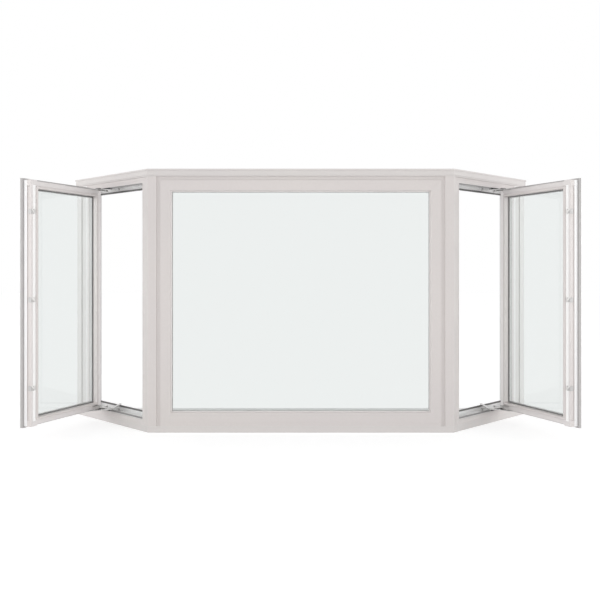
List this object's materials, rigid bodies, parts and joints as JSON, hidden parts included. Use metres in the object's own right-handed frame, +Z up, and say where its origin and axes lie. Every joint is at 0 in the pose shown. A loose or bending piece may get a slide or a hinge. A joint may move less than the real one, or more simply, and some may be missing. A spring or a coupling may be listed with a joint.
{
  "type": "bay window with two open casement sashes",
  "caption": "White vinyl bay window: fixed centre glass with an angled casement window on each side, both sashes open, between a head board and a seat board.",
  "frame": {"origin": "underside of the seat board, on the centre line, halfway between the front and the wall plane", "axes": "+X to the right seen from outside, +Y from the outside towards the room, +Z up"},
  "size_m": [2.4636, 0.6646, 1.219],
  "materials": {
    "vinyl": "satin white vinyl",
    "board": "plywood board faced in white",
    "trim": "satin white trim",
    "glass": "clear low-iron tint, coated",
    "spacer": "grey warm-edge spacer",
    "seal": "black weatherstrip",
    "steel": "stainless steel strip",
    "hardware": "white enamel"
  },
  "bodies": {
    "root": {"seat_board": "board", "head_board": "board", "head_trim": "trim", "corner_posts": "vinyl", "wall_posts": "vinyl", "centre_frame_jambs": "vinyl", "centre_frame_head_and_sill": "vinyl", "centre_strips": "vinyl", "centre_bead": "vinyl", "centre_glass": "glass", "centre_spacer": "spacer", "left_frame_jambs": "vinyl", "left_frame_head_and_sill": "vinyl", "left_frame_seals": "seal", "left_sash_stiles": "vinyl", "left_sash_rails": "vinyl", "left_sash_bead": "vinyl", "left_sash_seal": "seal", "left_sash_glass": "glass", "left_sash_spacer": "spacer", "left_sash_keepers": "steel", "left_sash_hinge_bars": "steel", "left_hinge_tracks": "steel", "left_hinge_arms": "steel", "left_operator_cover": "hardware", "left_operator_arms": "steel", "left_crank_handle": "hardware", "left_lock_handle": "hardware", "right_frame_jambs": "vinyl", "right_frame_head_and_sill": "vinyl", "right_frame_seals": "seal", "right_sash_stiles": "vinyl", "right_sash_rails": "vinyl", "right_sash_bead": "vinyl", "right_sash_seal": "seal", "right_sash_glass": "glass", "right_sash_spacer": "spacer", "right_sash_keepers": "steel", "right_sash_hinge_bars": "steel", "right_hinge_tracks": "steel", "right_hinge_arms": "steel", "right_operator_cover": "hardware", "right_operator_arms": "steel", "right_crank_handle": "hardware", "right_lock_handle": "hardware"}
  },
  "joints": []
}
